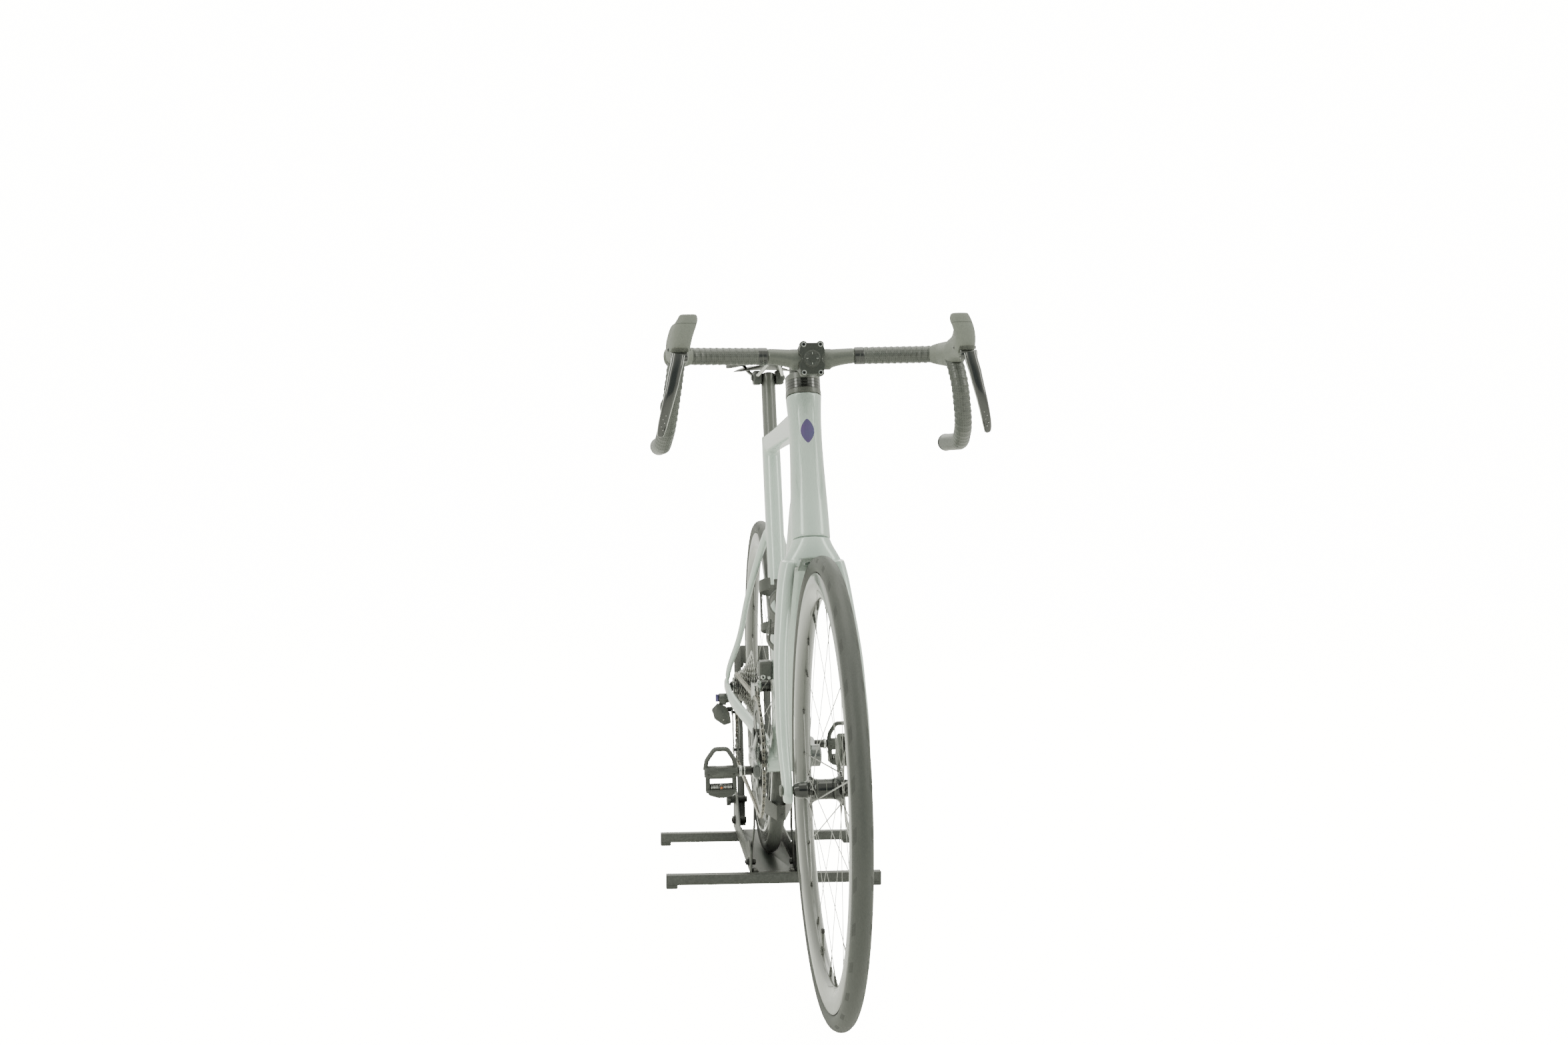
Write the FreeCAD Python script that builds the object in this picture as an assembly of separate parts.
# Road bicycle held upright by a rear-wheel display stand.
# Millimetres.  -Y is the front of the bicycle, +X its left side, +Z up.
# The bicycle is modelled level and upright in its own frame (front tyre contact
# at the origin) and is then set into the stand: rear wheel raised onto the base
# plate and leaning slightly towards its drive side.
import FreeCAD, Part
import os
from math import sin, cos, tan, atan2, atan, sqrt, pi, radians, degrees

os.makedirs("parts", exist_ok=True)
V = FreeCAD.Vector

# ---------------------------------------------------------------- dimensions
WHEELBASE = 1011.0
TYRE_R = 339.0          # outer radius of a 28 mm tyre on a 622 mm rim
TYRE_W = 28.0
RIM_OUT = 314.5
RIM_DEPTH = 39.0
RIM_W = 27.0
HEAD_ANGLE = 73.0
SEAT_ANGLE = 73.5
FORK_RAKE = 45.0
HT_LOW = 381.5          # head tube ends, measured up the steering axis
HT_TOP = 611.5
STEERER_R = 14.3
BORE_CLEAR = 0.05       # radial running clearance of shafts and steerer
BB_Y, BB_Z = 607.0, 269.0
CRANK_LEN = 172.5
CRANK_UP = 4.0          # degrees the forward crank points above level
BIG_RING_T, SMALL_RING_T = 52, 36
COG_T = 12
PULLEY_T = 12
PITCH = 12.7
CHAIN_X_RING = -48.0
CHAIN_X_COG = -58.0
SPROCKETS = (34, 30, 27, 24, 21, 19, 17, 15, 14, 13, 12, 11)
ROTOR_R = 80.0
REAR_RAISE = 32.1       # height of the rear tyre above the floor
LEAN = 1.4              # degrees, top towards -X
STEER_REST = 0.5        # degrees, wheel and fork turned towards +X at rest
BAR_YAW = 0.0           # extra degrees of the stem on the steerer
STAND_X = -5.5
STAND_Y0 = 1004.0
BAR_SPACING = 389.0
BAR_LEN = 420.0
BAR_SQ = 19.0
BAR_TOP = 26.5
HOOP_TILT_TOP_Y = 1374.0

X, Y, Z = V(1, 0, 0), V(0, 1, 0), V(0, 0, 1)
HA = radians(HEAD_ANGLE)
SA = radians(SEAT_ANGLE)
AX_D = V(0, cos(HA), sin(HA))            # steering axis, upwards
AX_N = V(0, sin(HA), -cos(HA))           # rearward-down normal
AX_P = V(0, 0, TYRE_R) + AX_N * FORK_RAKE
BB = V(0, BB_Y, BB_Z)
ST_D = V(0, cos(SA), sin(SA))
ST_N = V(0, sin(SA), -cos(SA))
REAR = V(0, WHEELBASE, TYRE_R)
FRONT = V(0, 0, TYRE_R)


def pitch_r(n):
    return PITCH / (2 * sin(pi / n))


# ---------------------------------------------------------------- helpers
def cyl(p, d, r, h):
    return Part.makeCylinder(r, h, V(*p), V(*d))


def tube(p, d, ro, ri, h):
    return cyl(p, d, ro, h).cut(cyl(V(*p) - V(*d) * 1.0, d, ri, h + 2))


def box(x0, x1, y0, y1, z0, z1):
    return Part.makeBox(x1 - x0, y1 - y0, z1 - z0, V(x0, y0, z0))


def rbox(x0, x1, y0, y1, z0, z1, r):
    b = box(x0, x1, y0, y1, z0, z1)
    try:
        return b.makeFillet(r, b.Edges)
    except Exception:
        return b


def rod(a, b, r):
    a, b = V(*a), V(*b)
    d = b - a
    return Part.makeCylinder(r, d.Length, a, d)


def sec(c, u, v, a, b, n=2.4, k=20):
    pts = []
    for i in range(k):
        t = 2 * pi * i / k
        cc, ss = cos(t), sin(t)
        cx = (abs(cc) ** (2.0 / n)) * (1 if cc >= 0 else -1)
        sy = (abs(ss) ** (2.0 / n)) * (1 if ss >= 0 else -1)
        pts.append(V(*c) + V(*u) * (a * cx) + V(*v) * (b * sy))
    s = Part.BSplineCurve()
    s.interpolate(pts, PeriodicFlag=True)
    return Part.Wire([s.toShape()])


def loft(secs, ruled=False):
    s = Part.makeLoft(secs, True, ruled)
    if s.Volume < 0:
        s = s.reversed()
    return s


def fuse(*a):
    s = a[0]
    for b in a[1:]:
        s = s.fuse(b)
    try:
        s = s.removeSplitter()
    except Exception:
        pass
    return s


def cut(a, *b):
    for t in b:
        a = a.cut(t)
    return a


def group(*a):
    return Part.makeCompound(list(a))


def solids(s):
    return s.Solids


def mirror_x(s):
    return s.mirror(V(0, 0, 0), V(1, 0, 0))


def rot(s, p, d, deg):
    t = s.copy()
    t.rotate(V(*p), V(*d), deg)
    return t


def revolve_ring(pts, centre):
    """pts: (x, r) polygon turned about the X axis through centre."""
    w = Part.makePolygon([V(x, centre.y, centre.z + r) for x, r in pts] +
                         [V(pts[0][0], centre.y, centre.z + pts[0][1])])
    return Part.Face(w).revolve(centre, X, 360)


def belt(c1, r1, s1, c2, r2, s2):
    """tangent from circle 1 to circle 2 in (p, q); s=+1 turns anticlockwise."""
    dx, dy = c2[0] - c1[0], c2[1] - c1[1]
    dist = sqrt(dx * dx + dy * dy)
    k = s2 * r2 - s1 * r1
    t = sqrt(dist * dist - k * k)
    ang = atan2(dy, dx) - atan2(k, t)
    d = (cos(ang), sin(ang))
    n = (-d[1], d[0])
    a = (c1[0] - s1 * r1 * n[0], c1[1] - s1 * r1 * n[1])
    b = (c2[0] - s2 * r2 * n[0], c2[1] - s2 * r2 * n[1])
    return a, b


N = {}       # node name -> (shape, group)


def put(name, shape, grp):
    N[name] = (shape, grp)


# ================================================================ wheels
def make_tyre(c):
    hw, ro = TYRE_W / 2, TYRE_R
    pts = []
    cr = ro - hw                      # centre radius of the casing circle
    for i in range(0, 25):
        t = radians(-52 + (284.0) * i / 24)
        pts.append((hw * cos(t), cr + hw * sin(t)))
    # open casing: inner contour
    inner = [(x * 0.86, cr + (r - cr) * 0.86) for x, r in pts]
    return revolve_ring(pts + inner[::-1], c)


def make_rim(c):
    h = RIM_W / 2
    ri = RIM_OUT - RIM_DEPTH
    pts = [(h - 2.6, RIM_OUT), (h - 1.2, RIM_OUT - 5), (h, RIM_OUT - 14), (h - 1.6, RIM_OUT - 26), (5.5, ri + 1.5), (0, ri),
           (-5.5, ri + 1.5), (-h + 1.6, RIM_OUT - 26), (-h, RIM_OUT - 14), (-h + 1.2, RIM_OUT - 5), (-h + 2.6, RIM_OUT),
           (-h + 4.6, RIM_OUT - 1), (-7.5, RIM_OUT - 8), (7.5, RIM_OUT - 8), (h - 4.6, RIM_OUT - 1)]
    rim = revolve_ring(pts, c)
    valve = cyl((0, c.y, c.z + ri - 40), Z, 2.6, 40.3)
    return fuse(rot(valve, c, X, 197), rim)


def make_spokes(c, nper, xl, xr, rl, rr, cross=1.0):
    """nper spokes a side, laced tangentially; nipples at the rim."""
    out = []
    ri = RIM_OUT - RIM_DEPTH + 0.3
    for side, (fx, fr) in enumerate(((xl, rl), (xr, rr))):
        for i in range(nper):
            base = 2 * pi * (i + 0.5 * side) / nper
            sgn = 1 if i % 2 == 0 else -1
            th_h = base + sgn * radians(62)
            a = V(fx + (1.1 if i % 2 else -1.1), c.y + fr * sin(th_h), c.z + fr * cos(th_h))
            b = V(0.8 * (1 if fx > 0 else -1), c.y + ri * sin(base), c.z + ri * cos(base))
            d = (b - a)
            ln = d.Length
            d = d * (1.0 / ln)
            sp = Part.makeCylinder(1.0, ln - 13.5, a, d)
            ni = Part.makeCylinder(2.0, 13.8, a + d * (ln - 13.9), d)
            out.append(sp.fuse(ni))
    return group(*out)


put("front_tyre", make_tyre(FRONT), "steer")
put("front_rim", make_rim(FRONT), "steer")
put("rear_tyre", make_tyre(REAR), "bike")
put("rear_rim", make_rim(REAR), "bike")
ROTOR_X = 34.0
AXLE_R = 6.0


def make_hub(c, xl, xr, fl, fr, rfl, rfr, rbody):
    prof = [(xl, 7.5), (xl + 6, 7.5), (xl + 6, 11.5), (fl - 3, 12.5), (fl - 1.8, rfl + 2.2), (fl + 1.8, rfl + 2.2), (fl + 4, rbody), (fr - 4, rbody),
            (fr - 1.8, rfr + 2.2), (fr + 1.8, rfr + 2.2), (fr + 3, 12.5), (xr - 6, 11.5), (xr - 6, 7.5), (xr, 7.5),
            (xr, AXLE_R + BORE_CLEAR), (xl, AXLE_R + BORE_CLEAR)]
    return revolve_ring(prof, c)


SPK = dict(front=(-26.0, 20.0, 19.0, 21.0), rear=(-17.0, 22.0, 24.0, 21.0))
put("front_hub", make_hub(FRONT, -49.8, 49.8, -26.0, 20.0, 19.0, 21.0, 16.5), "steer")
put("rear_hub", cut(make_hub(REAR, -70.5, 70.5, -17.0, 22.0, 24.0, 21.0, 15.0),
                    tube(V(-66, REAR.y, REAR.z), X, 40, 10.6, 44.0)), "bike")
put("front_spokes", make_spokes(FRONT, 12, 20.0, -26.0, 23.3, 21.3), "steer")
put("rear_spokes", make_spokes(REAR, 12, 22.0, -17.0, 23.3, 26.3), "bike")


def make_rotor(c):
    x0 = ROTOR_X - 0.9
    ring = tube((x0, c.y, c.z), X, ROTOR_R, ROTOR_R - 14, 1.8)
    core = tube((x0, c.y, c.z), X, 24.0, 12.8, 1.8)
    arms = []
    for i in range(6):
        a = box(x0, x0 + 1.8, c.y - 3.4, c.y + 3.4, c.z + 20, c.z + ROTOR_R - 12)
        a = rot(a, V(0, c.y, c.z + 20), X, 24)
        arms.append(rot(a, c, X, 60 * i))
    s = fuse(ring, core, *arms)
    lock = tube((x0 + 1.8, c.y, c.z), X, 19.5, 12.8, 3.0)
    s = fuse(s, lock)
    for i in range(18):
        t = 2 * pi * i / 18
        r = ROTOR_R - 7 + (3.2 if i % 2 else -3.2)
        s = s.cut(cyl((x0 - 1, c.y + r * sin(t), c.z + r * cos(t)), X, 2.3, 4))
    return s


put("front_rotor", make_rotor(FRONT), "steer")
put("rear_rotor", make_rotor(REAR), "bike")

# axles
put("front_axle", fuse(cyl(V(-66.5, 0, TYRE_R), X, AXLE_R, 132), cyl(V(-69.5, 0, TYRE_R), X, 8.0, 3.2)), "steer")
put("rear_axle", fuse(cyl(V(-77.5, WHEELBASE, TYRE_R), X, AXLE_R, 155), cyl(V(77.3, WHEELBASE, TYRE_R), X, 8.0, 3.2)), "bike")

# ================================================================ fork
def axp(s, off=0.0, x=0.0):
    return AX_P + AX_D * s + AX_N * off + X * x


leg_secs = [  # x centre, y, z, half width x, half chord y
    (36.0, 139, 662, 11.5, 28), (41.0, 133, 640, 12.0, 25), (47.0, 118, 600, 11.5, 21.5), (54.5, 92, 540, 10.6, 19.5), (58.6, 62, 470, 9.6, 17.5),
    (59.6, 36, 405, 9.0, 15.5), (58.6, 13, 362, 8.2, 14.0), (58.2, 1.0, 338, 7.6, 14.0), (57.6, -2, 322, 6.8, 11.0)]
leg = loft([sec((x, y, z), X, Y, a, b, 2.6) for x, y, z, a, b in leg_secs])
crown = loft([sec(axp(HT_LOW - 0.7), X, AX_N, 29.6, 33.5, 2.3), sec(axp(368), X, AX_N, 34.5, 33.5, 2.4),
              sec(axp(354), X, AX_N, 42.0, 32.0, 2.6), sec(axp(336), X, AX_N, 47.5, 29.0, 2.8)])
steerer = tube(axp(360), AX_D, STEERER_R, 11.0, 322)
crown = crown.fuse(steerer)
fork = fuse(crown, leg, mirror_x(leg))
fork = cut(fork, cyl((-21.5, 0, TYRE_R), X, TYRE_R + 8.5, 43),
           box(-49.8, 49.8, -40, 60, 300, 372),
           cyl((-80, 0, TYRE_R), X, AXLE_R + BORE_CLEAR, 160),
           cyl(axp(300), AX_D, 11.0, 400))
put("fork", fork, "steer")

# front caliper: two halves bridged over the rotor, pads inside
def make_caliper(c, ang, leg_in, foot_x1):
    """body in a local frame: +z radial outwards from the axle, y tangential."""
    cy, cz = c.y, c.z
    body = rbox(ROTOR_X - 10.6, ROTOR_X + 15, cy - 25, cy + 25, cz + 58, cz + 93, 4)
    slot = box(ROTOR_X - 5.1, ROTOR_X + 5.1, cy - 40, cy + 40, cz + 50, cz + 83.5)
    body = body.cut(slot)
    pads = [box(ROTOR_X - 5.0, ROTOR_X - 1.3, cy - 13, cy + 13, cz + 62, cz + 82),
            box(ROTOR_X + 1.3, ROTOR_X + 5.0, cy - 13, cy + 13, cz + 62, cz + 82)]
    foot = box(ROTOR_X + 13, foot_x1, cy - 34, cy + 34, cz + 84, cz + 93)
    body = fuse(body, foot)
    return [rot(body, c, X, ang)] + [rot(p, c, X, ang) for p in pads]


fc = make_caliper(FRONT, -58.0, 52, 62.0)
fc[0] = cut(fc[0], fork)
put("front_caliper", group(*fc), "steer")

# ================================================================ frame
def st(s, off=0.0, x=0.0):
    return BB + ST_D * s + ST_N * off + X * x


ht_body = loft([sec(axp(HT_LOW), X, AX_N, 30, 34, 2.3), sec(axp(430), X, AX_N, 28.6, 35, 2.4), sec(axp(500), X, AX_N, 26.0, 33, 2.4),
                sec(axp(560), X, AX_N, 25.4, 31.5, 2.3), sec(axp(HT_TOP), X, AX_N, 28.0, 30.5, 2.3)])
ht_bore = cyl(axp(HT_LOW - 5), AX_D, 20.0, 245)
head_tube = ht_body.cut(ht_bore)
ht_core = ht_body.fuse(ht_bore)
put("head_tube", head_tube, "bike")
bearings = [tube(axp(HT_LOW + 0.2), AX_D, 19.9, STEERER_R + BORE_CLEAR, 7), tube(axp(HT_TOP - 7.2), AX_D, 19.9, STEERER_R + BORE_CLEAR, 7)]

tt_a, tt_b = V(0, 215, 874), V(0, 762, 838)
tt_d = (tt_b - tt_a).normalize()
tt_v = V(0, -tt_d.z, tt_d.y)
top_tube = loft([sec(tt_a, X, tt_v, 21, 23, 2.8), sec(tt_a + tt_d * 120, X, tt_v, 20.5, 20, 3.0), sec(tt_a + tt_d * 340, X, tt_v, 18, 17.5, 3.0),
                 sec(tt_a + tt_d * 548, X, tt_v, 16.2, 19, 2.6)])
dt_a, dt_b = V(0, 172, 762), V(0, 603, 277)
dt_d = (dt_b - dt_a).normalize()
dt_v = V(0, -dt_d.z, dt_d.y)
down_tube = loft([sec(dt_a, X, dt_v, 27, 34, 2.6), sec(dt_a + dt_d * 150, X, dt_v, 27, 31, 3.0), sec(dt_a + dt_d * 400, X, dt_v, 26, 27, 3.0),
                  sec(dt_a + dt_d * 648, X, dt_v, 30, 27, 2.8)])
fork_sweep = Part.makeCone(62, 46, 60, axp(HT_LOW - 60), AX_D)
fork_sweep2 = cyl(axp(HT_LOW - 260), AX_D, 66, 200.5)
seat_tube = loft([sec(st(0), X, ST_N, 24, 26, 2.6), sec(st(60), X, ST_N, 20, 28, 2.8), sec(st(180), X, ST_N, 16.8, 29, 3.0), sec(st(380), X, ST_N, 16.4, 27.5, 3.0),
                  sec(st(560), X, ST_N, 16.6, 27, 2.8), sec(st(606), X, ST_N, 16.6, 24.5, 2.6)])
bb_shell = cyl((-34, BB_Y, BB_Z), X, 27.5, 68)
bb_bore = cyl((-40, BB_Y, BB_Z), X, 20.5, 80)
post_bore = loft([sec(st(330), X, ST_N, 13.6, 18.1, 2.2), sec(st(620), X, ST_N, 13.6, 18.1, 2.2)])
seat_tube = fuse(seat_tube.cut(cyl((-40, WHEELBASE, TYRE_R), X, TYRE_R + 6.0, 80)), bb_shell)
st_core = seat_tube
seat_tube = cut(seat_tube, bb_bore, post_bore)
top_tube = cut(top_tube, ht_core, st_core, post_bore)
down_tube = cut(down_tube, ht_core, st_core, bb_bore, fork_sweep, fork_sweep2)
top_tube = sorted(top_tube.Solids, key=lambda s: -s.Volume)[0]
down_tube = sorted(down_tube.Solids, key=lambda s: -s.Volume)[0]
# chainstays
cs = []
tyre_env = revolve_ring([(19.5, 250), (19.5, TYRE_R + 3), (12, TYRE_R + 7), (-12, TYRE_R + 7), (-19.5, TYRE_R + 3), (-19.5, 250)], REAR)
ss_list = [(24, 640, 272, 10, 20), (29, 680, 279, 8.5, 19), (38, 740, 291, 7.5, 15), (56, 830, 309, 7.5, 12.5), (72, 920, 326, 7.2, 12), (76.6, 985, 337, 5.4, 13), (76.6, 1024, 341, 5.4, 15)]
for sgn in (1, -1):
    w = loft([sec((x * sgn, y, z), X, Z, a, b, 2.6) for x, y, z, a, b in ss_list])
    w = cut(w, tyre_env, st_core, bb_bore, cyl((-90, WHEELBASE, TYRE_R), X, AXLE_R + BORE_CLEAR, 180), box(-71.2, 71.2, 930, 1060, 280, 380))
    cs.append(sorted(w.Solids, key=lambda s: -s.Volume)[0])
# seatstays, dropped
sst = []
s_list = [(7, 742, 680, 8, 13), (17, 765, 652, 7, 12), (33, 810, 590, 6, 10.5), (48, 880, 504, 5.6, 9.5), (62, 945, 424, 5.6, 9), (74.0, 984, 378, 5.0, 9.5), (76.4, 1000, 352, 4.8, 10)]
env = fuse(cs[0], cs[1])
for sgn in (1, -1):
    w = loft([sec((x * sgn, y, z), X, V(0, .8, .6), a, b, 2.4) for x, y, z, a, b in s_list])
    w = cut(w, tyre_env, st_core, box(-0.2, 30, 600, 760, 560, 720) if sgn < 0 else box(-30, 0.2, 600, 760, 560, 720),
            box(-100, 100, 960, 1060, 300, 354.0), box(-71.2, 71.2, 930, 1060, 280, 372))
    sst.append(sorted(w.Solids, key=lambda s: -s.Volume)[0])
put("top_tube", top_tube, "bike")
put("down_tube", down_tube, "bike")
put("seat_tube", seat_tube, "bike")
put("chainstays", group(*cs), "bike")
put("seatstays", group(*sst), "bike")

# bottom bracket bearings and spindle
bearings += [tube((-33.8, BB_Y, BB_Z), X, 20.4, 12.0 + BORE_CLEAR, 9), tube((24.8, BB_Y, BB_Z), X, 20.4, 12.0 + BORE_CLEAR, 9)]
put("frame_bearings", group(*bearings), "bike")

# seatpost, clamp, rails, saddle
post = loft([sec(st(395), X, ST_N, 13.5, 18.0, 2.2), sec(st(730), X, ST_N, 13.5, 18.0, 2.2)])
SC = st(724)                       # clamp centre
clamp_bolt = cyl((-33, SC.y, SC.z), X, 3.5, 66)
post = post.cut(cyl((-40, SC.y, SC.z), X, 3.5, 80))
post = cut(post, cyl(st(395) + V(0, 0, 0), ST_D, 9.5, 270))
put("seatpost", post, "bike")
ears = []
for sgn in (1, -1):
    x0, x1 = (13.65, 29) if sgn > 0 else (-29, -13.65)
    e = rbox(x0, x1, SC.y - 20, SC.y + 20, SC.z - 14, SC.z + 14, 4)
    ears.append(e.cut(clamp_bolt))
RAIL_X = 22.0
rail_pts = [(9, 700, 985), (16, 735, 975), (22, 770, SC.z + 4), (22, 860, SC.z + 4), (30, 900, 978), (38, 925, 992)]
rails = []
for sgn in (1, -1):
    segs = []
    pts = [V(x * sgn, y, z) for x, y, z in rail_pts]
    for a, b in zip(pts, pts[1:]):
        segs.append(rod(a, b, 3.5))
        segs.append(Part.makeSphere(3.5, b))
    rails.append(fuse(*segs[:-1]))
ears = [e.cut(rails[0]).cut(rails[1]) for e in ears]
put("saddle_rails", group(*(rails + ears + [clamp_bolt])), "bike")
# saddle shell: lofted crowned body; y, half width, top z, thickness
sad = [(683, 17, 1008, 20), (700, 20, 1012, 24), (760, 24, 1014, 27), (820, 36, 1013, 28), (870, 58, 1015, 30), (905, 72, 1019, 32), (930, 73, 1021, 30), (945, 62, 1021, 24)]
secs = []
for y, w, zt, th in sad:
    pts = []
    for i in range(24):
        t = 2 * pi * i / 24
        xx = w * cos(t)
        zz = sin(t)
        droop = 17.0 * (abs(xx) / 73.0) ** 2.2
        pts.append(V(xx, y, zt - droop - th / 2 + zz * th / 2 * (0.72 if zz < 0 else 1)))
    s = Part.BSplineCurve(); s.interpolate(pts, PeriodicFlag=True)
    secs.append(Part.Wire([s.toShape()]))
saddle = loft(secs)
saddle = cut(saddle, group(*rails))
saddle = sorted(saddle.Solids, key=lambda s: -s.Volume)[0]
put("saddle", saddle, "bike")

# bottle cages: wrapped band and back rail on the down tube and the seat tube
def make_cage(base, d, nrm):
    """base: mount point on the tube surface, d up the tube, nrm away from the tube."""
    base, d, nrm = V(*base), V(*d), V(*nrm)
    r, t = 37.5, 3.2
    ctr = base + nrm * (r + 5.0)
    ring = tube(ctr - d * 20 + d * 75, d, r + t, r, 22)
    ring2 = tube(ctr + d * 4 - d * 20, d, r + t, r, 14)
    gap = Part.makeBox(46, 60, 60)
    g = gap.copy()
    # opening on the far side of each ring
    def at(l, wx, wy, c0, hx):
        b = Part.makeBox(wx, wy, l)
        m = FreeCAD.Matrix(1, nrm.x, d.x, c0.x, 0, nrm.y, d.y, c0.y, 0, nrm.z, d.z, c0.z, 0, 0, 0, 1)
        b = b.translate(V(-hx, 0, 0)) if False else b
        b.Placement = FreeCAD.Placement()
        b = b.transformGeometry(FreeCAD.Matrix(1, 0, 0, -hx, 0, 1, 0, 0, 0, 0, 1, 0, 0, 0, 0, 1))
        return b.transformGeometry(m)
    ring = ring.cut(at(40, 44, 60, ctr + d * 40, 22))
    ring2 = ring2.cut(at(30, 30, 60, ctr - d * 24, 15))
    back = at(112, 18, 4.4, base - d * 24 + nrm * 0.6, 9)
    back = back.cut(Part.makeCylinder(r, 200, ctr - d * 80, d))
    floor_ = at(3.2, 16, 48, base - d * 24 + nrm * 0.6, 8)
    lip = at(14, 16, 3.0, base - d * 24 + nrm * 45.6, 8)
    arms = []
    for sx in (1, -1):
        a = rod(ctr + X * (sx * (r + t / 2) * 0.94) - nrm * 13 - d * 10, ctr + X * (sx * (r + t / 2) * 0.94) - nrm * 13 + d * 66, 2.4)
        arms.append(a)
    return fuse(ring, ring2, back, floor_, lip, *arms)


dt_c = dt_a + dt_d * 400
cage1 = make_cage(dt_c + dt_v * 27.2, dt_d * -1.0, dt_v)
cage2 = make_cage(st(235) - ST_N * 28.9, ST_D, ST_N * -1.0)
cage1 = cut(cage1, down_tube, cage2.copy() if False else seat_tube)
cage2 = cut(cage2, seat_tube, down_tube)
put("bottle_cages", group(cage1, cut(cage2, cage1)), "bike")

# rear caliper, flat mounted on the left chainstay
rc = make_caliper(REAR, 50.0, 60, 62.0)
rc[0] = cut(rc[0], env, sst[0], sst[1])
rc[0] = sorted(rc[0].Solids, key=lambda s: -s.Volume)[0]
put("rear_caliper", group(*rc), "bike")

# ================================================================ drivetrain
R_BIG, R_SMALL = pitch_r(BIG_RING_T), pitch_r(SMALL_RING_T)
R_COG, R_PUL = pitch_r(COG_T), pitch_r(PULLEY_T)
G_C = (-1033.0, 281.0)      # guide pulley (p = -y, q = z)
T_C = (-1010.0, 207.0)      # tension pulley
RING_C = (-BB_Y, BB_Z)
COG_C = (-WHEELBASE, TYRE_R)
CH = 3.7                    # half height of the chain
root = 4.1
ring_b = tube((CHAIN_X_RING - 1.1, BB_Y, BB_Z), X, R_BIG - root, R_BIG - 22, 2.2)
ring_s = tube((CHAIN_X_RING + 6.4, BB_Y, BB_Z), X, R_SMALL - root + 3.6, R_SMALL - 18, 2.2)
tabs = []
for i in range(4):
    a = cyl((CHAIN_X_RING - 3.5, BB_Y + 55 * sin(pi / 4 + i * pi / 2), BB_Z + 55 * cos(pi / 4 + i * pi / 2)), X, 6.5, 12.2)
    sp = box(CHAIN_X_RING - 1.1, CHAIN_X_RING + 1.1, BB_Y - 7, BB_Y + 7, BB_Z + 48, BB_Z + R_BIG - 19)
    tabs += [a, rot(sp, BB, X, 45 + 90 * i)]
rings = fuse(ring_b, ring_s, *tabs)
put("chainrings", rings, "bike")


def crank_solid(sgn, ang):
    """arm pointing towards -Y before it is turned."""
    sx = sgn
    s1 = [sec((sx * 52, BB_Y, BB_Z), Y * 1.0, X, 16, 6, 2.6)]
    pts = [(55.0, 0, 19, 8), (57, -45, 15.5, 7.5), (62, -110, 14.0, 7.2), (66.5, -CRANK_LEN - 3, 14.5, 7.4), (66.5, -CRANK_LEN - 15, 11, 6.8)]
    a = loft([sec((sx * x, BB_Y + y, BB_Z), Z, X, b, t, 2.8) for x, y, b, t in pts])
    boss = cyl((sx * 46 if sx > 0 else -64.0, BB_Y, BB_Z), X, 20.0, 18.0)
    a = fuse(a, boss)
    if sgn < 0:                       # spider with four arms carries the rings
        for i in range(4):
            t = pi / 4 + i * pi / 2
            e = loft([sec((-55.5, BB_Y + 12 * sin(t), BB_Z + 12 * cos(t)), V(0, cos(t), -sin(t)), X, 15, 6, 2.6),
                      sec((-54.6, BB_Y + 40 * sin(t), BB_Z + 40 * cos(t)), V(0, cos(t), -sin(t)), X, 11.5, 3.4, 2.6),
                      sec((-53.4, BB_Y + 63 * sin(t), BB_Z + 63 * cos(t)), V(0, cos(t), -sin(t)), X, 9.5, 2.0, 2.6)])
            a = fuse(a, e)
    return rot(a, BB, X, ang)


ANG_R = -CRANK_UP                   # forward crank a few degrees up
PED_R = V(0, BB_Y - CRANK_LEN * cos(radians(CRANK_UP)), BB_Z + CRANK_LEN * sin(radians(CRANK_UP)))
PED_L = V(0, BB_Y + CRANK_LEN * cos(radians(CRANK_UP)), BB_Z - CRANK_LEN * sin(radians(CRANK_UP)))
arm_r = crank_solid(-1, ANG_R)
arm_l = rot(crank_solid(1, 0), BB, X, 180 + ANG_R)
spindle = tube((-64.5, BB_Y, BB_Z), X, 12.0, 8.5, 129)
pax_r = fuse(cyl((-154, PED_R.y, PED_R.z), X, 5.0, 95), cyl((-97.8, PED_R.y, PED_R.z), X, 8.0, 23.0))
pax_l = fuse(cyl((59, PED_L.y, PED_L.z), X, 5.0, 95), cyl((74.8, PED_L.y, PED_L.z), X, 8.0, 23.0))
axles = [spindle, pax_r, pax_l]
arms_c = group(cut(arm_r, *[a.copy() for a in (spindle.fuse(cyl((-70, BB_Y, BB_Z), X, 8.6, 140)), pax_r, rings)]),
               cut(arm_l, spindle.fuse(cyl((-70, BB_Y, BB_Z), X, 8.6, 140)), pax_l))
put("crank_arms", arms_c, "bike")
put("crank_axles", group(*axles), "bike")


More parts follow.
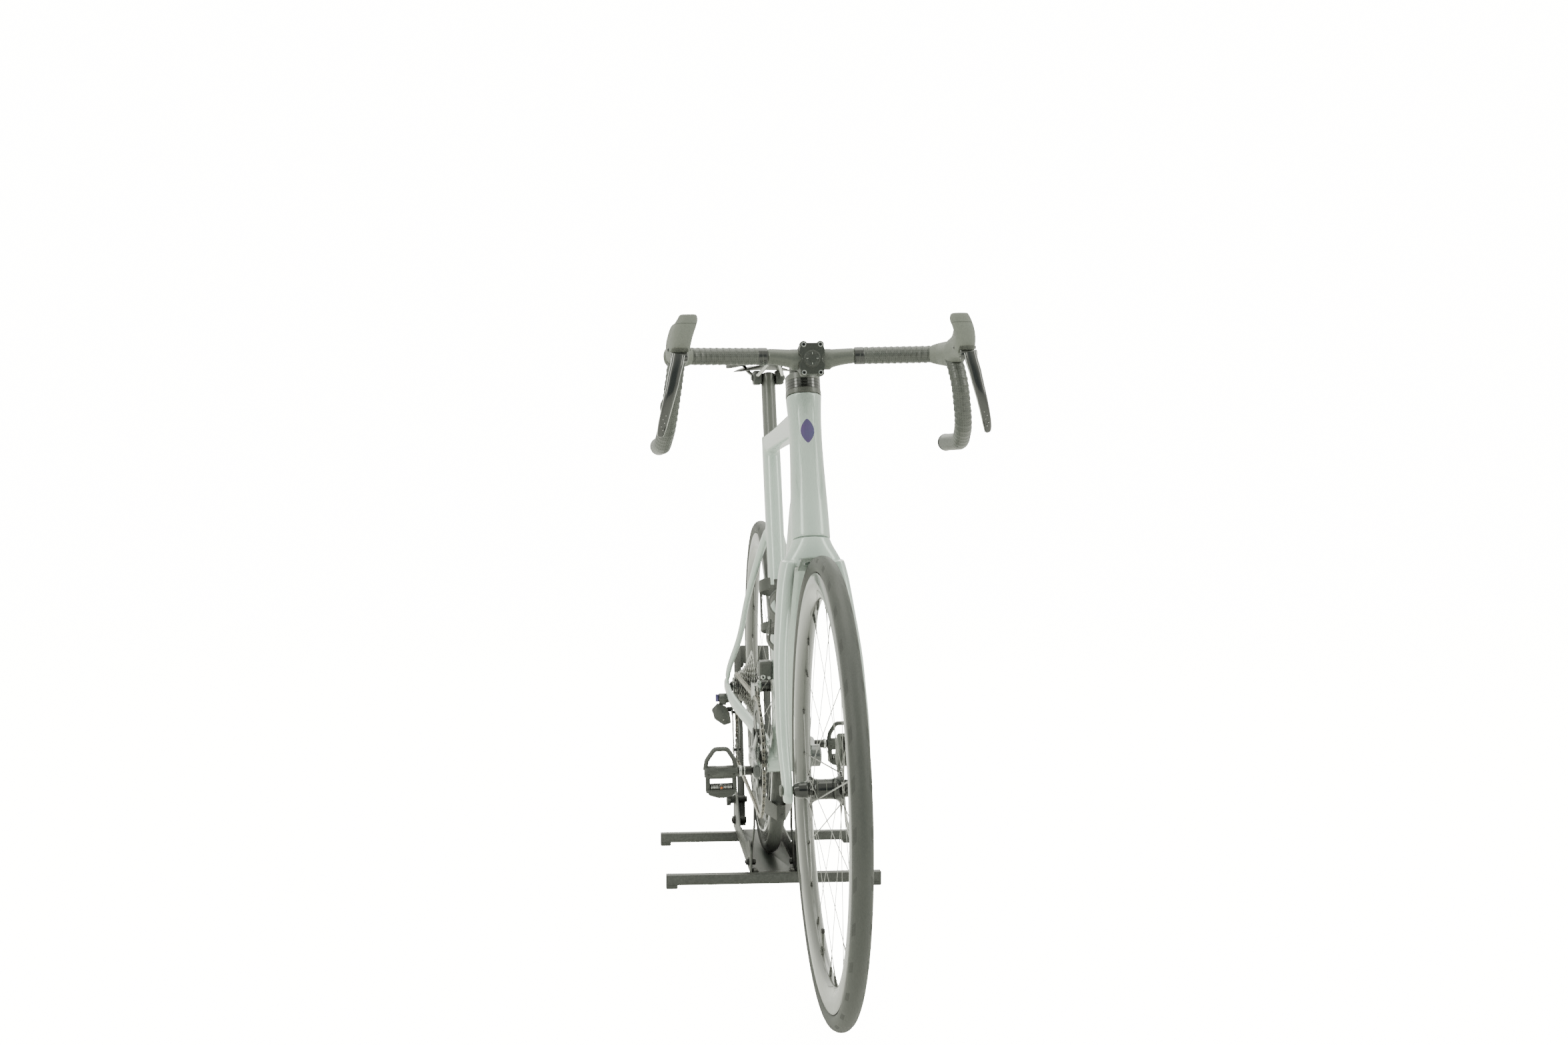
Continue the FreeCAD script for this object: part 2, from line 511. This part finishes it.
def make_pedal(c, sgn):
    """clipless pedal hanging with its toe loop up; local x outwards."""
    def bx(a0, a1, y0, y1, z0, z1, r=0):
        x0, x1 = (c.x + sgn * a0, c.x + sgn * a1)
        x0, x1 = min(x0, x1), max(x0, x1)
        f = rbox if r else box
        args = (x0, x1, c.y + y0, c.y + y1, c.z + z0, c.z + z1)
        return rbox(*args, r) if r else box(*args)
    barrel = cyl((c.x + (98.6 if sgn > 0 else -156), c.y, c.z), X, 10.5, 57.4)
    body = bx(101, 154, -7, 9, -34, 14, 3)
    loop = bx(103, 152, -8, 5, 8, 44, 4).cut(bx(113, 142, -12, 12, 14, 34))
    tail = bx(102, 153, -12, 9, -42, -24, 4)
    mid = bx(116, 139, -14, 20, -22, -13)
    p = fuse(barrel, body, loop, tail)
    p = p.cut(bx(118, 137, -20, 20, -23, -14))
    b = cyl((c.x + (70 if sgn > 0 else -155.0), c.y, c.z), X, 5.0 + BORE_CLEAR, 85)
    return p.cut(b)


put("pedal_right", make_pedal(PED_R, -1), "bike")
put("pedal_left", make_pedal(PED_L, 1), "bike")

# cassette
sp = []
x = -25.5
for k, t in enumerate(SPROCKETS):
    r = pitch_r(t) - root if t == COG_T else pitch_r(t) + (1.8 if t != 11 else -root + 1.0)
    if t == COG_T:
        x = CHAIN_X_COG - 0.9
    sp.append(cyl((x - 0.0, WHEELBASE, TYRE_R), X, r if t not in (13, 11) else pitch_r(t) - 2.6 if t == 11 else pitch_r(t) + 1.8, 1.8))
    x -= 3.05
cass = fuse(cyl((-64.5, WHEELBASE, TYRE_R), X, 18.0, 42.0), *sp)
cass = cass.cut(cyl((-90, WHEELBASE, TYRE_R), X, 10.6 - 0.0 + BORE_CLEAR, 100))
put("cassette", cass, "bike")


def pq(p, q, x):
    return V(x, -p, q)


def arc_band(c, r, x, a0, a1):
    """band of the chain over the angle a0..a1 (radians, anticlockwise in p,q)."""
    w = 2.8
    full = tube((x - w, -c[0], c[1]), X, r + CH, r - CH, 2 * w)
    n = 24
    big = (r + 30) / cos((a1 - a0) / n / 2)
    pts = [pq(c[0], c[1], x - w - 1)]
    for i in range(n + 1):
        t = a0 + (a1 - a0) * i / n
        pts.append(pq(c[0] + big * cos(t), c[1] + big * sin(t), x - w - 1))
    pts.append(pts[0])
    wedge = Part.Face(Part.makePolygon(pts)).extrude(V(2 * w + 2, 0, 0))
    return full.common(wedge)


def run(a, xa, b, xb):
    d = (b[0] - a[0], b[1] - a[1])
    ln = sqrt(d[0] ** 2 + d[1] ** 2)
    n = (-d[1] / ln * CH, d[0] / ln * CH)
    w = 2.8

    def rect(c, x):
        return Part.makePolygon([pq(c[0] + n[0], c[1] + n[1], x - w), pq(c[0] + n[0], c[1] + n[1], x + w), pq(c[0] - n[0], c[1] - n[1], x + w),
                                 pq(c[0] - n[0], c[1] - n[1], x - w), pq(c[0] + n[0], c[1] + n[1], x - w)])
    return loft([rect(a, xa), rect(b, xb)], True)


u0, u1 = belt(RING_C, R_BIG, 1, COG_C, R_COG, 1)
g0, g1 = belt(COG_C, R_COG, 1, G_C, R_PUL, -1)
t0, t1 = belt(G_C, R_PUL, -1, T_C, R_PUL, 1)
l0, l1 = belt(T_C, R_PUL, 1, RING_C, R_BIG, 1)


def ang(c, p):
    return atan2(p[1] - c[1], p[0] - c[0])


def span(c, a, b, s, ex=0.01):
    x0, x1 = ang(c, a), ang(c, b)
    if s > 0:
        while x1 < x0:
            x1 += 2 * pi
        return x0 - ex, x1 + ex
    while x0 < x1:
        x0 += 2 * pi
    return x1 - ex, x0 + ex


CXR, CXC = CHAIN_X_RING, CHAIN_X_COG
chain_parts = [arc_band(RING_C, R_BIG, CXR, *span(RING_C, l1, u0, 1)), run(u0, CXR, u1, CXC),
               arc_band(COG_C, R_COG, CXC, *span(COG_C, u1, g0, 1)), run(g0, CXC, g1, CXC),
               arc_band(G_C, R_PUL, CXC, *span(G_C, g1, t0, -1)), run(t0, CXC, t1, CXC),
               arc_band(T_C, R_PUL, CXC, *span(T_C, t1, l0, 1)), run(l0, CXC, l1, CXR)]
chain = fuse(*chain_parts)
put("chain", chain, "bike")

# rear derailleur
GY, GZ, TY, TZ = -G_C[0], G_C[1], -T_C[0], T_C[1]
PUL_B = 3.0
for nm, yy, zz in (("guide_pulley", GY, GZ), ("tension_pulley", TY, TZ)):
    pl = tube((CHAIN_X_COG - 1.6, yy, zz), X, R_PUL - root, PUL_B + BORE_CLEAR, 3.2)
    put(nm, pl, "bike")


def plate(x0, x1, w):
    a = cyl((x0, GY, GZ), X, w, x1 - x0)
    b = cyl((x0, TY, TZ), X, w, x1 - x0)
    d = V(0, TY - GY, TZ - GZ)
    ln = d.Length
    m = Part.makeBox(x1 - x0, ln, 2 * w * 0.62, V(x0, 0, -w * 0.62))
    m.rotate(V(0, 0, 0), X, degrees(atan2(d.z, d.y)))
    m.translate(V(0, GY, GZ))
    return fuse(a, b, m)


cage_out = plate(-66.2, -64.2, 11.0)
cage_in = plate(-52.2, -50.4, 10.0)
pbolt = [cyl((-66.2, GY, GZ), X, PUL_B, 15.6), cyl((-66.2, TY, TZ), X, PUL_B, 15.6)]
pk = V(0, GY + 4, GZ + 6)
pivot = cyl((-76, pk.y, pk.z), X, 5.0, 10.5)
put("rd_cage", fuse(cage_out, cage_in, pivot, *pbolt), "bike")
BK = V(0, 1022, 313)
hanger = fuse(box(-75.5, -71.5, 1004, 1018, 318, 330).fuse(rod((-75.5, 1016, 322), (-71.5, 1016, 322), 9)), cyl((-75.5, BK.y, BK.z), X, 9.5, 4.0))
hanger = cut(hanger, cs[1], cs[0], cyl((-90, WHEELBASE, TYRE_R), X, 9, 180))
hanger = sorted(hanger.Solids, key=lambda s: -s.Volume)[0]
knuckle = cyl((-93, BK.y, BK.z), X, 10.0, 17.4)
put("rd_mount", group(hanger, fuse(knuckle, box(-93, -79, BK.y - 9, BK.y + 6, BK.z - 13, BK.z))), "bike")
swing = rbox(-108, -76.6, 1012, 1048, 264, 294.0, 5)
swing = cut(swing, cyl((-90, pk.y, pk.z), X, 5.0 + BORE_CLEAR, 60), cyl((-93.5, BK.y, BK.z), X, 10.4, 18.4))
swing = sorted(swing.Solids, key=lambda s: -s.Volume)[0]
put("rd_swing", swing, "bike")

# front derailleur
fd_body = fuse(rbox(-41, -17.2, 636, 671, 405, 438, 4), box(-22, -10, 646, 664, 415, 430))
fd_body = cut(fd_body, st_core)
fd_body = sorted(fd_body.Solids, key=lambda s: -s.Volume)[0]
put("front_derailleur", fd_body, "bike")
oc = box(-54.0, -52.6, 602, 682, 366, 396).fuse(box(-54.0, -43.0, 636, 672, 394.5, 396))
oc = oc.cut(cyl((-60, BB_Y, BB_Z), X, R_BIG + 7.0, 20))
ic = box(-44.4, -43.0, 606, 676, 360, 396)
outer = cyl((-56, BB_Y, BB_Z), X, R_BIG + 29, 14).cut(cyl((-58, BB_Y, BB_Z), X, R_BIG + 6.5, 18))
FD_P = V(-41.0, 650, 400.0)
fd_cage = fuse(oc, ic, box(-44.4, -38, 648, 660, 388, 400.5), cyl((-41.0, 646, 400), Y, 3.2, 16))
put("fd_cage", cut(fd_cage, fd_body, box(-60, -52.0, 590, 700, 330, 340)), "bike")

# ================================================================ cockpit
SP0, SP1 = HT_TOP + 0.5, 645.0
spacers = []
z0 = SP0
for h in (8.0, 5.0, 5.0, 5.0, 9.6):
    a = 27.4 if z0 > SP0 + 1 else 28.0
    spacers.append(loft([sec(axp(z0), X, AX_N, a, 30.0, 2.3), sec(axp(z0 + h), X, AX_N, a - 0.4, 30.0, 2.3)]).cut(cyl(axp(600), AX_D, STEERER_R, 60)))
    z0 += h + 0.08
put("headset_spacers", group(*spacers), "cockpit")
BAR_C = V(0, 126, 966)
clampc = axp(664.5)
stem_d = (BAR_C - clampc)
stem_l = stem_d.Length
stem_d = stem_d * (1 / stem_l)
stem_v = V(0, -stem_d.z, stem_d.y) * -1.0
stem = loft([sec(axp(645.2), X, AX_N, 20.5, 21.5, 2.6), sec(axp(684), X, AX_N, 19.5, 20.5, 2.6)])
body = loft([sec(clampc + stem_d * 6, X, stem_v, 18, 18, 2.6), sec(clampc + stem_d * 55, X, stem_v, 15.5, 15.5, 2.6), sec(BAR_C - stem_d * 17, X, stem_v, 21, 20, 3)])
clampb = loft([sec(BAR_C - stem_d * 21, X, stem_v, 21.5, 20.5, 3.4), sec(BAR_C - stem_d * 0.3, X, stem_v, 21.5, 22.5, 3.6)])
stem = cut(fuse(stem, body, clampb), cyl((-60, BAR_C.y, BAR_C.z), X, 15.9, 120), cyl(axp(600), AX_D, STEERER_R, 120), cyl(axp(590), AX_D, 70, 55.15))
put("stem", sorted(stem.Solids, key=lambda s: -s.Volume)[0], "cockpit")
fp = loft([sec(BAR_C + stem_d * 0.5, X, stem_v, 21.5, 24.0, 4.0), sec(BAR_C + stem_d * 19.5, X, stem_v, 19.5, 23.5, 4.0)])
fp = cut(fp, cyl((-60, BAR_C.y, BAR_C.z), X, 15.9, 120))
for sgn in (1, -1):
    fp = fp.cut(cyl(BAR_C + X * (sgn * 23.5) - stem_d * 10, stem_d, 8.0, 40))
bolts = []
for sx in (1, -1):
    for sv in (1, -1):
        p = BAR_C + X * (sx * 12.6) + stem_v * (sv * 21.0)
        fp = fp.fuse(cyl(p + stem_d * 4, stem_d, 5.6, 14))
        b = cyl(p + stem_d * 12, stem_d, 3.6, 8.0).cut(cyl(p + stem_d * 17, stem_d, 1.8, 5))
        bolts.append(b)
        fp = fp.cut(cyl(p + stem_d * 12, stem_d, 3.6, 12))
cap = cyl(BAR_C + stem_d * 18, stem_d, 12.0, 3.0)
fp = fp.fuse(cap).cut(cyl((-60, BAR_C.y, BAR_C.z), X, 15.9, 120))
put("stem_faceplate", group(*([fp] + bolts)), "cockpit")

# handlebar: round clamp section, flattened tops, swept drops
def smooth_path(pts, rads):
    """polyline with tangent arcs: returns a wire."""
    pts = [V(*p) for p in pts]
    edges = []
    prev = pts[0]
    for i in range(1, len(pts) - 1):
        a, b, c = pts[i - 1], pts[i], pts[i + 1]
        d1, d2 = (b - a).normalize(), (c - b).normalize()
        th = d1.getAngle(d2)
        r = rads[i - 1]
        t = r * tan(th / 2)
        s, e = b - d1 * t, b + d2 * t
        nrm = (d2 - d1).normalize()
        m = b + nrm * (r / cos(th / 2) - r)
        if (s - prev).Length > 1e-4:
            edges.append(Part.LineSegment(prev, s).toShape())
        edges.append(Part.Arc(s, m, e).toShape())
        prev = e
    edges.append(Part.LineSegment(prev, pts[-1]).toShape())
    return Part.Wire(edges)


def pipe(path, r):
    e0 = path.Edges[0]
    d = e0.tangentAt(e0.FirstParameter)
    w = Part.Wire([Part.makeCircle(r, e0.valueAt(e0.FirstParameter), d)])
    p = path.makePipeShell([w], True, True)
    return p.reversed() if p.Volume < 0 else p


drop = [(60, 126, 971), (160, 124, 972), (198, 114, 972), (204, 62, 969), (211, 45, 925), (220, 62, 866), (226, 112, 840), (227, 222, 838)]


def bar_side(sgn):
    pts = [(x * sgn, y, z) for x, y, z in drop]
    segs = []
    for i in range(len(pts) - 1):
        segs.append((V(*pts[i]), V(*pts[i + 1])))
    return pts


def tube_side(sgn, r, start=0, skip_end=0.0):
    pts = bar_side(sgn)[start:]
    pts = [V(*p) for p in pts]
    if skip_end:
        d = (pts[-1] - pts[-2]).normalize()
        pts[-1] = pts[-1] - d * skip_end
    return pipe(smooth_path(pts, [rr for rr in (60, 22, 26, 50, 50, 60)][start:]), r)


side_l, side_r = tube_side(1, 11.0), tube_side(-1, 11.0)
mid = loft([sec((-64, 126, 971), Y, Z, 13.4, 11.7, 2.0), sec((-46, 126, 969.5), Y, Z, 14.5, 12.6, 2.0), sec((-25, 126, 966.0), Y, Z, 15.2, 15.0, 2.0)])
mid2 = mirror_x(mid)
barc = cyl((-30, 126, 966), X, 15.88, 60)
handlebar = fuse(barc, mid, mid2, side_l, side_r)
put("handlebar", handlebar, "cockpit")
# tape sleeve over each side from the taper outwards
def tape_side(sgn):
    pts = [V(*p) for p in bar_side(sgn)]
    pts[0] = pts[0] + (pts[1] - pts[0]) * 0.09
    p = smooth_path(pts, (60, 22, 26, 50, 50, 60))
    return pipe(p, 12.9)


TAPE_RAW = [tape_side(1), tape_side(-1)]
tapes = [TAPE_RAW[0].cut(side_l), TAPE_RAW[1].cut(side_r)]
plugs = []
for s in (1, -1):
    e = bar_side(s)
    d = (V(*e[-1]) - V(*e[-2])).normalize()
    plugs.append(cyl(V(*e[-1]) + d * 0.1, d, 12.9, 3.0))

# brake hoods: body, rounded horn, rubber
HOOD = []
LEV = []
BTN = {}
PIV = {}
LEAN_OUT = 14.0
for sgn, side in ((1, "left"), (-1, "right")):
    cx = 204 * sgn
    hd = loft([sec((cx + 1 * sgn, 74, 970), X, Z, 14.0, 14.5, 2.4), sec((cx + 1.5 * sgn, 44, 975), X, V(0, .10, .995), 15.6, 18.5, 2.6),
               sec((cx + 2 * sgn, 8, 981), X, V(0, .14, .99), 15.8, 20.5, 2.8), sec((cx, -16, 988), X, V(0, .42, .907), 15.6, 25.5, 2.8),
               sec((cx - 4.0 * sgn, -31, 1001), X, V(0, .80, .60), 15.4, 20.5, 2.8),
               sec((cx - 9 * sgn, -36, 1012), X, V(0, .985, .17), 15.2, 15.4, 2.8), sec((cx - 11.5 * sgn, -38, 1022.5), X, Y, 11.6, 10.5, 2.6)])
    hd = hd.cut(TAPE_RAW[0 if sgn > 0 else 1])
    hd = sorted(hd.Solids, key=lambda q: -q.Volume)[0]
    piv = V(cx + 2 * sgn, -32, 962)
    PIV[side] = V(piv.x, -34, 964)
    # lever blade: curved, flaring outwards
    lv = loft([sec((cx + 3 * sgn, -38, 968), X, Y, 8.6, 8.0, 2.6), sec((cx + 9 * sgn, -43, 940), X, Y, 8.4, 7.0, 2.6), sec((cx + 17 * sgn, -44, 905), X, Y, 7.6, 5.6, 2.6),
               sec((cx + 26 * sgn, -38, 872), X, Y, 6.6, 4.8, 2.6), sec((cx + 30 * sgn, -30, 854), X, Y, 4.6, 4.0, 2.4)])
    hd = hd.cut(box(piv.x - 12.4, piv.x + 12.4, -90, -22.0, 925, 972.5))
    hd = hd.cut(cyl((piv.x - 12.4, -34, 964), X, 12.2, 24.8))
    hd = sorted(hd.Solids, key=lambda q: -q.Volume)[0]
    HOOD.append(hd)
    pin = cyl((piv.x - 12.0, -34, 964), X, 7.0, 24.0)
    lever = fuse(lv.cut(box(piv.x - 30, piv.x + 30, -80, 0, 971.5, 999)), pin)
    # two shift paddles behind the blade, on the outer side
    for k, (zz0, zz1, nm) in enumerate(((934, 911, "upper"), (908.6, 886, "lower"))):
        def off(z):
            t = (968 - z) / 114.0
            return 3 + 27 * t
        xa, xb = cx + sgn * off(zz0), cx + sgn * off(zz1)
        yo = -30.5 if k == 0 else -31.5
        b = loft([sec((xa + 3.0 * sgn, yo, zz0), X, Y, 7.0, 3.6, 2.8), sec((xb + 3.0 * sgn, yo, zz1), X, Y, 6.2, 3.6, 2.8)])
        BTN[side + "_" + nm] = b
    LEV.append(lever)
tapes = [[q for q in t.Solids if q.Volume > 400] for t in tapes]
put("bar_tape", group(*(tapes[0] + tapes[1] + plugs)), "cockpit")
put("brake_hoods", group(*HOOD), "cockpit")
put("brake_lever_left", LEV[0], "cockpit")
put("brake_lever_right", LEV[1], "cockpit")
for side in ("left", "right"):
    put("shift_button_%s_upper" % side, BTN[side + "_upper"], "cockpit")
    put("shift_button_%s_lower" % side, BTN[side + "_lower"], "cockpit")

# ================================================================ stand
yf, yr = STAND_Y0 - BAR_SPACING / 2, STAND_Y0 + BAR_SPACING / 2
sx = STAND_X
b0 = BAR_TOP - BAR_SQ


def sq_bar(yc):
    o = box(sx - BAR_LEN / 2 + 3, sx + BAR_LEN / 2 - 3, yc - BAR_SQ / 2, yc + BAR_SQ / 2, b0, BAR_TOP)
    i = box(sx - BAR_LEN / 2 - 5, sx + BAR_LEN / 2 + 5, yc - BAR_SQ / 2 + 1.6, yc + BAR_SQ / 2 - 1.6, b0 + 1.6, BAR_TOP - 1.6)
    return o.cut(i)


HOLE_X = 38.0
bars = [sq_bar(yf), sq_bar(yr)]
fast_holes = [cyl((sx + s * HOLE_X, y, b0 - 1), Z, 3.0, BAR_SQ + 12) for s in (1, -1) for y in (yf, yr)]
bars = [cut(b, *fast_holes) for b in bars]
put("stand_cross_bars", group(*bars), "stand")
caps = []
for yc in (yf, yr):
    for s in (1, -1):
        x_out = sx + s * BAR_LEN / 2
        x_in = x_out - s * 22
        c = box(min(x_out, x_out - s * 3), max(x_out, x_out - s * 3), yc - BAR_SQ / 2, yc + BAR_SQ / 2, b0, BAR_TOP)
        plug = box(min(x_out - s * 3, x_out - s * 16), max(x_out - s * 3, x_out - s * 16), yc - BAR_SQ / 2 + 1.7, yc + BAR_SQ / 2 - 1.7, b0 + 1.7, BAR_TOP - 1.7)
        foot = box(min(x_out, x_in), max(x_out, x_in), yc - BAR_SQ / 2 - 0.5, yc + BAR_SQ / 2 + 0.5, 0, b0 - 0.02)
        foot = foot.makeChamfer(2.0, [e for e in foot.Edges if abs(e.CenterOfMass.z) < 0.01])
        caps.append(fuse(c, plug, foot.fuse(box(min(x_out, x_out - s * 2.9), max(x_out, x_out - s * 2.9), yc - BAR_SQ / 2, yc + BAR_SQ / 2, b0 - 2, b0 + 2))))
caps = [c.cut(group(*bars)) for c in caps]
put("stand_end_caps", group(*caps), "stand")
PT = 3.0
plate_ = box(sx - 47, sx + 47, yf - 9, yr + 12, BAR_TOP + 0.02, BAR_TOP + 0.02 + PT)
CH_X = 47.0


def cheek(s):
    x0 = sx + s * CH_X
    pts = [(yf - 9, BAR_TOP + 0.02), (yf - 9, 66), (yf + 30, 84), (yf + 110, 62), (yr - 110, 62), (yr - 24, 112), (yr + 6, 120), (yr + 26, 112), (yr + 30, BAR_TOP + 0.02)]
    w = Part.makePolygon([V(x0 - (PT if s > 0 else 0), y, z) for y, z in pts] + [V(x0 - (PT if s > 0 else 0), pts[0][0], pts[0][1])])
    return Part.Face(w).extrude(V(PT, 0, 0))


# hoop pivot and clamp points
HP_Y, HP_Z = yr + 14.0, 50.0
tilt = atan2(HOOP_TILT_TOP_Y - HP_Y, 417.0 - HP_Z)
KN_R = 46.0
KN = V(0, HP_Y + KN_R * sin(tilt), HP_Z + KN_R * cos(tilt))
cheeks = [cheek(1), cheek(-1)]
slot_pts = []
slot = None
for i in range(0, 15):
    t = tilt - radians(0) + radians(40) * i / 14.0
    c = cyl((sx - 60, HP_Y + KN_R * sin(t), HP_Z + KN_R * cos(t)), X, 4.6, 120)
    slot = c if slot is None else slot.fuse(c)
lug = [cyl((sx + CH_X - PT, HP_Y, HP_Z), X, 62.0, PT), cyl((sx - CH_X, HP_Y, HP_Z), X, 62.0, PT)]
keep = box(sx - 80, sx + 80, yr - 40, HP_Y + 52, BAR_TOP + 0.02, 140)
cheeks = [cut(fuse(c, l.common(keep)), slot, cyl((sx - 60, HP_Y, HP_Z), X, 4.05, 120)) for c, l in zip(cheeks, lug)]
fb = V(sx, yf + 30, 42.0)
base = fuse(plate_, cheeks[0], cheeks[1])
base = cut(base, *fast_holes, cyl((sx - 60, fb.y, fb.z), X, 3.0, 120))
put("stand_base_channel", base, "stand")
# front guide: two struts and a bent strip that takes the tyre
VZ0, VZ1 = 153.0, 181.0
apex = V(sx + 1.5, 684, 0)
strut_t = 3.0


def strut(s):
    prof = [(sx + s * 43.9, BAR_TOP + 3.4, fb.y - 9, fb.y + 9), (sx + s * 42.5, 70.0, fb.y - 9, fb.y + 9), (sx + s * 38.0, 112.0, fb.y - 9, fb.y + 9), (sx + s * 38.0, VZ1, fb.y - 9, fb.y + 9)]
    out = []
    for (xa, za, ya0, ya1), (xb, zb, yb0, yb1) in zip(prof, prof[1:]):
        w1 = Part.makePolygon([V(xa, ya0, za), V(xa, ya1, za), V(xa - s * strut_t, ya1, za), V(xa - s * strut_t, ya0, za), V(xa, ya0, za)])
        w2 = Part.makePolygon([V(xb, yb0, zb), V(xb, yb1, zb), V(xb - s * strut_t, yb1, zb), V(xb - s * strut_t, yb0, zb), V(xb, yb0, zb)])
        out.append(loft([w1, w2], True))
    return fuse(*out)


def vstrip(s):
    y1 = fb.y + 9
    y0 = apex.y + 3
    pts = [(0, y0), (8.0, y0), (38.0, y1 - 18), (38.0, y1), (35.0, y1), (35.0, y1 - 18), (6.6, y0 + 3.0), (0, y0 + 3.0)]
    ax = sx + 0.8
    pts = [V((ax if abs(px) < 9 else sx) + s * px, py, VZ0) for px, py in pts]
    w = Part.makePolygon(pts + [pts[0]])
    return Part.Face(w).extrude(V(0, 0, VZ1 - VZ0))


vg = fuse(vstrip(1), vstrip(-1), strut(1), strut(-1))
vg = cut(vg, cyl((sx - 60, fb.y, fb.z), X, 3.0, 120), cyl((apex.x, apex.y - 5, (VZ0 + VZ1) / 2), Y, 2.2, 16))
put("wheel_guide", vg, "stand")
# fasteners
fast = []
for s in (1, -1):
    for y in (yf, yr):
        fast.append(fuse(cyl((sx + s * HOLE_X, y, b0 + 1.7), Z, 2.95, BAR_TOP + 3 - b0 - 0.6), cyl((sx + s * HOLE_X, y, BAR_TOP + PT + 0.05), Z, 6.0, 3.6)))
    xh = sx + s * CH_X
    d = X * s
    fast.append(fuse(cyl(V(xh + s * 0.05, fb.y, fb.z), d, 6.0, 5.0), cyl(V(xh + s * 0.05, fb.y, fb.z), d * -1, 2.95, 14), cyl(V(xh - s * (PT + 3.9), fb.y, fb.z), d * -1, 6.0, 6.0)))
    # hoop pivot bolts, fixed in the cheeks
    fast.append(fuse(cyl(V(xh + s * 0.1, HP_Y, HP_Z), d, 8.0, 5.5), cyl(V(xh + s * 0.1, HP_Y, HP_Z), d * -1, 4.0, 24), cyl(V(xh - s * 22.9, HP_Y, HP_Z), d * -1, 7.0, 1.6)))
fast = [cut(f, base, vg) for f in fast]
put("stand_fasteners", group(*fast), "stand")
# hoop: two flat uprights, top band and window
HX1, HX0 = 40.0, 24.5
hh = 15.0
TOPL = sqrt((HOOP_TILT_TOP_Y - HP_Y) ** 2 + (417.0 - HP_Z) ** 2)


def hoop_box(x0, x1, t0, t1, w0, w1):
    """t along the leg from the pivot, w across it (rearwards)."""
    b = box(x0, x1, -w1, -w0, t0, t1)
    b = b.mirror(V(0, 0, 0), V(0, 1, 0))
    b.rotate(V(0, 0, 0), X, -degrees(tilt))
    b.translate(V(0, HP_Y, HP_Z))
    return b


legs = [hoop_box(sx + HX0, sx + HX1, -12, TOPL - 6, -4, 4), hoop_box(sx - HX1, sx - HX0, -12, TOPL - 6, -4, 4)]
band = hoop_box(sx - HX1, sx + HX1, TOPL - 52, TOPL, -1.5, 2.5)
band2 = band.cut(hoop_box(sx - HX0 + 6, sx + HX0 - 6, TOPL - 60, TOPL - 42, -9, 9))
ccut = hoop_box(-3, 3, 0, 1, 0, 1)
win = Part.makeCylinder(HX0 - 2, 20, V(0, -10, 0), Y)
win.rotate(V(0, 0, 0), X, -degrees(tilt))
win.translate(V(sx, HP_Y + (TOPL - 60) * sin(tilt), HP_Z + (TOPL - 60) * cos(tilt)))
bosses = [cyl((sx + s * HX0, q.y, q.z), X * s, 9.5, HX1 - HX0) for s in (1, -1) for q in (V(0, HP_Y, HP_Z), KN)]
hoop = fuse(legs[0], legs[1], band2.cut(win), *bosses)
hoop = cut(hoop, cyl((sx - 60, HP_Y, HP_Z), X, 4.0 + BORE_CLEAR, 120), cyl((sx - 60, KN.y, KN.z), X, 4.0 + BORE_CLEAR, 120))
put("hoop", hoop, "stand")
for s, side in ((1, "left"), (-1, "right")):
    xh = sx + s * (CH_X + 0.4)
    k = cyl(V(xh, KN.y, KN.z), X * s, 9.0, 8.0)
    head = cyl(V(xh + s * 8.0, KN.y, KN.z), X * s, 13.5, 9.0)
    for i in range(5):
        t = 2 * pi * i / 5
        head = head.cut(cyl(V(xh + s * 7.0, KN.y + 16.0 * sin(t), KN.z + 16.0 * cos(t)), X * s, 5.2, 12))
    shank = cyl(V(xh, KN.y, KN.z), X * (-s), 4.0, 24.5)
    tip = cyl(V(xh - s * 24.4, KN.y, KN.z), X * (-s), 7.0, 5.0) if True else None
    kn = fuse(k, head, shank)
    nut = tube(V(sx + s * (HX0 - 0.3), KN.y, KN.z), X * (-s), 6.5, 4.0, 4.5)
    put("clamp_knob_" + side, kn.fuse(nut), "stand")

# ================================================================ placement
TH = atan(REAR_RAISE / WHEELBASE)
BIKE = FreeCAD.Placement(V(0, 0, 0), FreeCAD.Rotation(Y, -LEAN)).multiply(FreeCAD.Placement(V(0, 0, 0), FreeCAD.Rotation(X, degrees(TH))))


def steer_pl(deg):
    r = FreeCAD.Rotation(AX_D, deg)
    return FreeCAD.Placement(AX_P - r.multVec(AX_P), r)


PL = {"stand": FreeCAD.Placement(), "bike": BIKE, "steer": BIKE.multiply(steer_pl(STEER_REST)), "cockpit": BIKE.multiply(steer_pl(STEER_REST + BAR_YAW))}
placed = {}
for name, (shape, grp) in N.items():
    s = shape.copy()
    s.Placement = PL[grp].multiply(s.Placement)
    placed[name] = s
bb = Part.makeCompound(list(placed.values())).BoundBox
SHIFT = V(-(bb.XMin + bb.XMax) / 2, -(bb.YMin + bb.YMax) / 2, -bb.ZMin)
for name, s in placed.items():
    s.translate(SHIFT)


def to_row(p, grp):
    return PL[grp].multVec(V(*p)) + SHIFT


def dir_row(d, grp):
    return PL[grp].Rotation.multVec(V(*d))


if __name__ == "__main__":
    for name, s in placed.items():
        s.exportStep("parts/%s.step" % name)
    print(len(placed), "nodes; shift", SHIFT, "box", bb)
    for name, s in placed.items():
        ok = s.isValid() and all(q.isValid() for q in s.Solids)
        v = sum(q.Volume for q in s.Solids)
        if not ok or v <= 0 or not s.Solids:
            print("CHECK", name, "valid", ok, "volume", round(v, 1), "solids", len(s.Solids))
